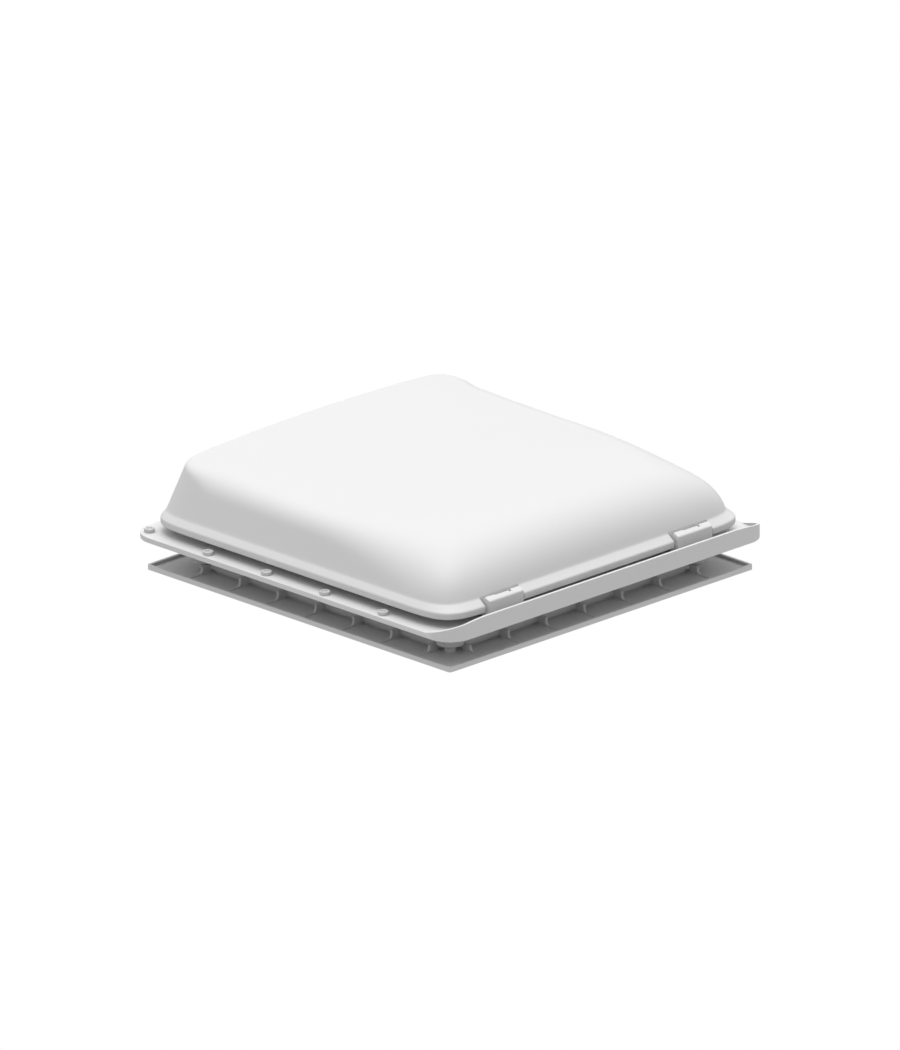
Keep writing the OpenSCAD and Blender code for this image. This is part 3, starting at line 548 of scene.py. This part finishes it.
def make_lid(material, smooth):
    """The lid's skin as one closed shell, with its rim cut away around the hinge blocks."""
    rings = lid_rings()
    n, rows = len(rings[0]), len(rings)
    verts = [(x, y + LID_SHIFT, z) for ring in rings for x, y, z in ring]
    faces = [(j * n + i, (j + 1) * n + i, (j + 1) * n + (i + 1) % n, j * n + (i + 1) % n)
             for j in range(rows - 1) for i in range(n)]
    faces += [tuple(range(n)), tuple(reversed(range((rows - 1) * n, rows * n)))]
    lid = mesh_object("lid_skin", verts, faces)
    outward(lid)
    cuts = [box_object("cut", (x - NOTCH_HALF, -LID_A - NOTCH_SPARE, RIM_Z - NOTCH_SPARE),
                       (x + NOTCH_HALF, NOTCH_BACK, NOTCH_TOP)) for x in HINGE_X]
    for cut in cuts:
        mod = lid.modifiers.new("cut", "BOOLEAN")
        mod.operation, mod.solver, mod.object = "DIFFERENCE", "EXACT", cut
    baked(lid)
    for cut in cuts:
        bpy.data.objects.remove(cut)
    lid.data.materials.clear()
    lid.data.materials.append(material)
    stand_in(lid, "lid", smooth, "lid_shell")


def box_object(name, low, high):
    """A box between two corners, to cut with."""
    xs, ys, zs = zip(low, high)
    v = [(x, y, z) for z in zs for y in ys for x in xs]
    f = [(0, 2, 3, 1), (4, 5, 7, 6), (0, 1, 5, 4), (2, 6, 7, 3), (0, 4, 6, 2), (1, 3, 7, 5)]
    return mesh_object(name, v, f, smooth=False)


def geometry_tree(name, sizes):
    """An empty geometry tree with a named input for each size, and its two ends."""
    tree = bpy.data.node_groups.new(name, "GeometryNodeTree")
    tree.interface.new_socket("Geometry", in_out="INPUT", socket_type="NodeSocketGeometry")
    for label, value in sizes.items():
        kind = "NodeSocketInt" if isinstance(value, int) else "NodeSocketFloat"
        tree.interface.new_socket(label, in_out="INPUT", socket_type=kind).default_value = value
    tree.interface.new_socket("Geometry", in_out="OUTPUT", socket_type="NodeSocketGeometry")
    return tree, tree.nodes.new("NodeGroupInput").outputs, tree.nodes.new("NodeGroupOutput")


def calc(tree, operation, a, b=0.0, c=0.0):
    """One step of arithmetic in a tree."""
    return add_node(tree, "ShaderNodeMath", operation=operation, inputs={0: a, 1: b, 2: c}).outputs[0]


def vector(tree, x=0.0, y=0.0, z=0.0):
    return add_node(tree, "ShaderNodeCombineXYZ", inputs={0: x, 1: y, 2: z}).outputs[0]


def moved(tree, shape, z):
    return add_node(tree, "GeometryNodeTransform", inputs={
        "Geometry": shape, "Translation": vector(tree, z=z)}).outputs[0]


def joined(tree, shapes):
    node = tree.nodes.new("GeometryNodeJoinGeometry")
    for shape in shapes:
        tree.links.new(shape, node.inputs[0])
    return node.outputs[0]


def close_tree(tree, shape, put, material):
    """Ends a tree: real geometry with its material."""
    real = add_node(tree, "GeometryNodeRealizeInstances", inputs={0: shape})
    dressed = add_node(tree, "GeometryNodeSetMaterial", inputs={
        "Geometry": real.outputs[0], "Material": material})
    tree.links.new(dressed.outputs[0], put.inputs[0])


def grown(name, tree, sizes, points=((0, 0, 0),)):
    """What a tree makes with the given sizes, as a plain mesh."""
    obj = mesh_object(name, points, [])
    mod = obj.modifiers.new("grow", "NODES")
    mod.node_group = tree
    for item in tree.interface.items_tree:
        if item.in_out == "INPUT" and item.name in sizes:
            mod[item.identifier] = sizes[item.name]
    return baked(obj)


def stand_in(obj, body, smooth, *names):
    """Puts a made piece in the place of nodes of the model: shades it smooth, hangs it on the given body
    and hides the nodes.
    """
    shade = obj.modifiers.new("shade", "NODES")
    shade.node_group = smooth
    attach(obj, body)
    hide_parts(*names)


def screw_tree(material):
    """Screws on points: a head with soft edges and a round recess, and a shank below it."""
    tree, size, put = geometry_tree("screws", SCREW)
    outer = calc(tree, "MULTIPLY", size["Head Width"], 0.5)
    recess = calc(tree, "MULTIPLY", size["Recess Width"], 0.5)
    middle = calc(tree, "MULTIPLY", calc(tree, "ADD", outer, recess), 0.5)
    path = add_node(tree, "GeometryNodeCurvePrimitiveCircle", mode="RADIUS", inputs={
        "Resolution": SCREW_AROUND, "Radius": middle})
    upright = add_node(tree, "GeometryNodeSetCurveNormal", mode="Z_UP", inputs={0: path.outputs[0]})
    section = add_node(tree, "GeometryNodeCurvePrimitiveQuadrilateral", mode="RECTANGLE", inputs={
        "Width": calc(tree, "SUBTRACT", outer, recess), "Height": size["Head Height"]})
    soft = add_node(tree, "GeometryNodeFilletCurve", mode="POLY", inputs={
        "Curve": section.outputs[0], "Count": SCREW_EDGE_STEPS, "Radius": size["Edge"]})
    ring = add_node(tree, "GeometryNodeCurveToMesh", inputs={
        "Curve": upright.outputs[0], "Profile Curve": soft.outputs[0]})
    deep = calc(tree, "SUBTRACT", size["Head Height"], size["Recess Depth"])
    floor = add_node(tree, "GeometryNodeMeshCylinder", inputs={
        "Vertices": SCREW_AROUND, "Radius": calc(tree, "ADD", recess, SCREW_OVERLAP), "Depth": deep})
    shank = add_node(tree, "GeometryNodeMeshCylinder", inputs={
        "Vertices": SHANK_AROUND, "Radius": calc(tree, "MULTIPLY", size["Shank Width"], 0.5),
        "Depth": size["Shank Length"]})
    screw = joined(tree, [
        moved(tree, ring.outputs[0], calc(tree, "MULTIPLY", size["Head Height"], 0.5)),
        moved(tree, floor.outputs[0], calc(tree, "MULTIPLY", deep, 0.5)),
        moved(tree, shank.outputs[0], calc(tree, "MULTIPLY", size["Shank Length"], SHANK_PLACE))])
    spread = add_node(tree, "GeometryNodeInstanceOnPoints", inputs={
        "Points": size["Geometry"], "Instance": screw})
    close_tree(tree, spread.outputs[0], put, material)
    return tree


def make_screws(material, smooth):
    """The screws round the flange; the hinge side has only two, between its blocks."""
    corner = [(x, y) for x in (-SCREW_CORNER, SCREW_CORNER) for y in (-SCREW_CORNER, SCREW_CORNER)]
    steps = (-SCREW_FAR, -SCREW_NEAR, SCREW_NEAR, SCREW_FAR)
    side = [(x, y) for x in (-SCREW_LINE, SCREW_LINE) for y in steps]
    free = [(x, SCREW_LINE) for x in steps]
    hinge = [(x, -SCREW_LINE) for x in (-SCREW_NEAR, SCREW_NEAR)]
    spots = [(x, y, FLANGE_Z) for x, y in corner + side + free + hinge]
    screws = grown("screws", screw_tree(material), SCREW, spots)
    stand_in(screws, "frame", smooth, "flange_screws")


def net_tree(material):
    """A net of straight wires on two levels, each cut to length by the rule of the screen's outline."""
    tree, size, put = geometry_tree("net", NET)
    wire = size["Wire"]
    place = add_node(tree, "ShaderNodeSeparateXYZ", inputs={
        0: add_node(tree, "GeometryNodeInputPosition").outputs[0]})
    across, along = place.outputs[0], place.outputs[1]
    off = calc(tree, "ABSOLUTE", across)
    top = calc(tree, "MINIMUM", size["Front"], calc(tree, "SUBTRACT", size["Front Corner"], off))
    low = calc(tree, "MAXIMUM", calc(tree, "MULTIPLY", size["Back"], -1.0),
               calc(tree, "SUBTRACT", off, size["Back Corner"]))
    middle = calc(tree, "MULTIPLY", calc(tree, "ADD", top, low), 0.5)
    half = calc(tree, "MINIMUM", size["Side"], calc(
        tree, "MINIMUM", calc(tree, "SUBTRACT", size["Front Corner"], along),
        calc(tree, "ADD", size["Back Corner"], along)))
    layers = []
    for count, start, step, shift, span, level in (
            (size["Wires Across"], vector(tree, x=calc(tree, "MULTIPLY", size["Side"], -1.0)),
             vector(tree, x=size["Pitch"]), vector(tree, y=middle),
             vector(tree, wire, calc(tree, "SUBTRACT", top, low), wire), 0.5),
            (size["Wires Along"], vector(tree, y=calc(tree, "MULTIPLY", size["Back"], -1.0)),
             vector(tree, y=size["Pitch"]), vector(tree),
             vector(tree, calc(tree, "MULTIPLY", half, 2.0), wire, wire), -0.5)):
        line = add_node(tree, "GeometryNodeMeshLine", mode="OFFSET", inputs={
            "Count": count, "Start Location": start, "Offset": step})
        unit = add_node(tree, "GeometryNodeMeshCube", inputs={"Size": (1.0, 1.0, 1.0)})
        rods = add_node(tree, "GeometryNodeInstanceOnPoints", inputs={
            "Points": line.outputs[0], "Instance": unit.outputs[0], "Scale": span})
        put_right = add_node(tree, "GeometryNodeTranslateInstances", inputs={
            "Instances": rods.outputs[0], "Translation": shift, "Local Space": False})
        layers.append(moved(tree, put_right.outputs[0], calc(
            tree, "MULTIPLY_ADD", wire, level, NET_Z * MM)))
    close_tree(tree, joined(tree, layers), put, material)
    return tree


def make_net(material, smooth):
    """The fly screen's net, in its rails."""
    net = grown("net", net_tree(material), NET)
    stand_in(net, "fly_screen", smooth, "screen_net")


def grip_tree(material):
    """A sleeve with rounded rings along it: a grid rolled up around the bow's bar."""
    tree, size, put = geometry_tree("ringed_sleeve", GRIP)
    last = GRIP_POINTS + 2
    grid = add_node(tree, "GeometryNodeMeshGrid", inputs={
        "Size X": 1.0, "Size Y": 1.0, "Vertices X": last + 1, "Vertices Y": GRIP_AROUND})
    place = add_node(tree, "ShaderNodeSeparateXYZ", inputs={
        0: add_node(tree, "GeometryNodeInputPosition").outputs[0]})
    index = calc(tree, "MULTIPLY", calc(tree, "ADD", place.outputs[0], 0.5), float(last))
    turn = calc(tree, "MULTIPLY", calc(tree, "ADD", place.outputs[1], 0.5), 2 * math.pi)
    seam = calc(tree, "GREATER_THAN", index, last - 0.5)
    back = calc(tree, "GREATER_THAN", index, last - 1.5)
    bore = calc(tree, "SUBTRACT", calc(tree, "GREATER_THAN", index, last - 2.5), seam)
    share = calc(tree, "MULTIPLY", calc(tree, "SUBTRACT", 1.0, seam),
                 calc(tree, "MINIMUM", calc(tree, "DIVIDE", index, float(GRIP_POINTS - 1)), 1.0))
    run = calc(tree, "MULTIPLY", share, size["Length"])
    wave = calc(tree, "COSINE", calc(tree, "DIVIDE", calc(tree, "MULTIPLY", run, 2 * math.pi),
                                     size["Ring Pitch"]))
    groove = calc(tree, "MULTIPLY", calc(tree, "POWER", calc(
        tree, "MULTIPLY_ADD", wave, 0.5, 0.5), GROOVE_POWER), size["Ring Depth"])
    end = calc(tree, "MINIMUM", run, calc(tree, "SUBTRACT", size["Length"], run))
    fall = calc(tree, "MAXIMUM", calc(
        tree, "SUBTRACT", 1.0, calc(tree, "DIVIDE", end, size["End Round"])), 0.0)
    rounding = calc(tree, "MULTIPLY", calc(tree, "MULTIPLY", fall, fall), size["End Round"])
    skin = calc(tree, "SUBTRACT", calc(tree, "SUBTRACT", size["Radius"], groove),
                calc(tree, "MULTIPLY", rounding, 0.5))
    inside = calc(tree, "SUBTRACT", size["Bore"], skin)
    radius = calc(tree, "MULTIPLY_ADD", bore, inside, skin)
    x = calc(tree, "ADD", size["Start"], calc(tree, "MULTIPLY", run, calc(tree, "SUBTRACT", 1.0, back)))
    y = calc(tree, "MULTIPLY_ADD", radius, calc(tree, "COSINE", turn), BAR_Y * MM)
    z = calc(tree, "MULTIPLY_ADD", radius, calc(tree, "SINE", turn), BAR_Z * MM)
    rolled = add_node(tree, "GeometryNodeSetPosition", inputs={
        "Geometry": grid.outputs[0], "Position": vector(tree, x, y, z)})
    closed = add_node(tree, "GeometryNodeMergeByDistance", inputs={
        "Geometry": rolled.outputs[0], "Distance": WELD / 2})
    close_tree(tree, closed.outputs[0], put, material)
    return tree


def make_grips(material, smooth):
    """The two grips on the bow's bar, left and right of the guide."""
    tree = grip_tree(material)
    for name, start in (("left", -GRIP_START - GRIP_LENGTH), ("right", GRIP_START)):
        grip = grown("grip_" + name, tree, dict(GRIP, Start=start * MM))
        outward(grip)
        stand_in(grip, "lifting_bow", smooth, "bow_grip_" + name)


def outward(obj):
    """Turns all faces of a closed mesh outward."""
    bm = bmesh.new()
    bm.from_mesh(obj.data)
    bmesh.ops.recalc_face_normals(bm, faces=bm.faces)
    bm.to_mesh(obj.data)
    bm.free()


def main():
    bpy.context.scene.view_settings.view_transform = "Standard"
    light_sky()
    lay_floor()
    place_camera()
    finishes = make_finishes()
    smooth = edge_tree()
    for name in nodes:
        dress_solid(name, finishes[SLOTS[name]], smooth, EDGES.get(name, 0.0))
    make_lid(finishes[SLOTS["lid_shell"]], smooth)
    make_screws(finishes[SLOTS["flange_screws"]], smooth)
    make_net(finishes[SLOTS["screen_net"]], smooth)
    make_grips(finishes[SLOTS["bow_grip_left"]], smooth)


main()
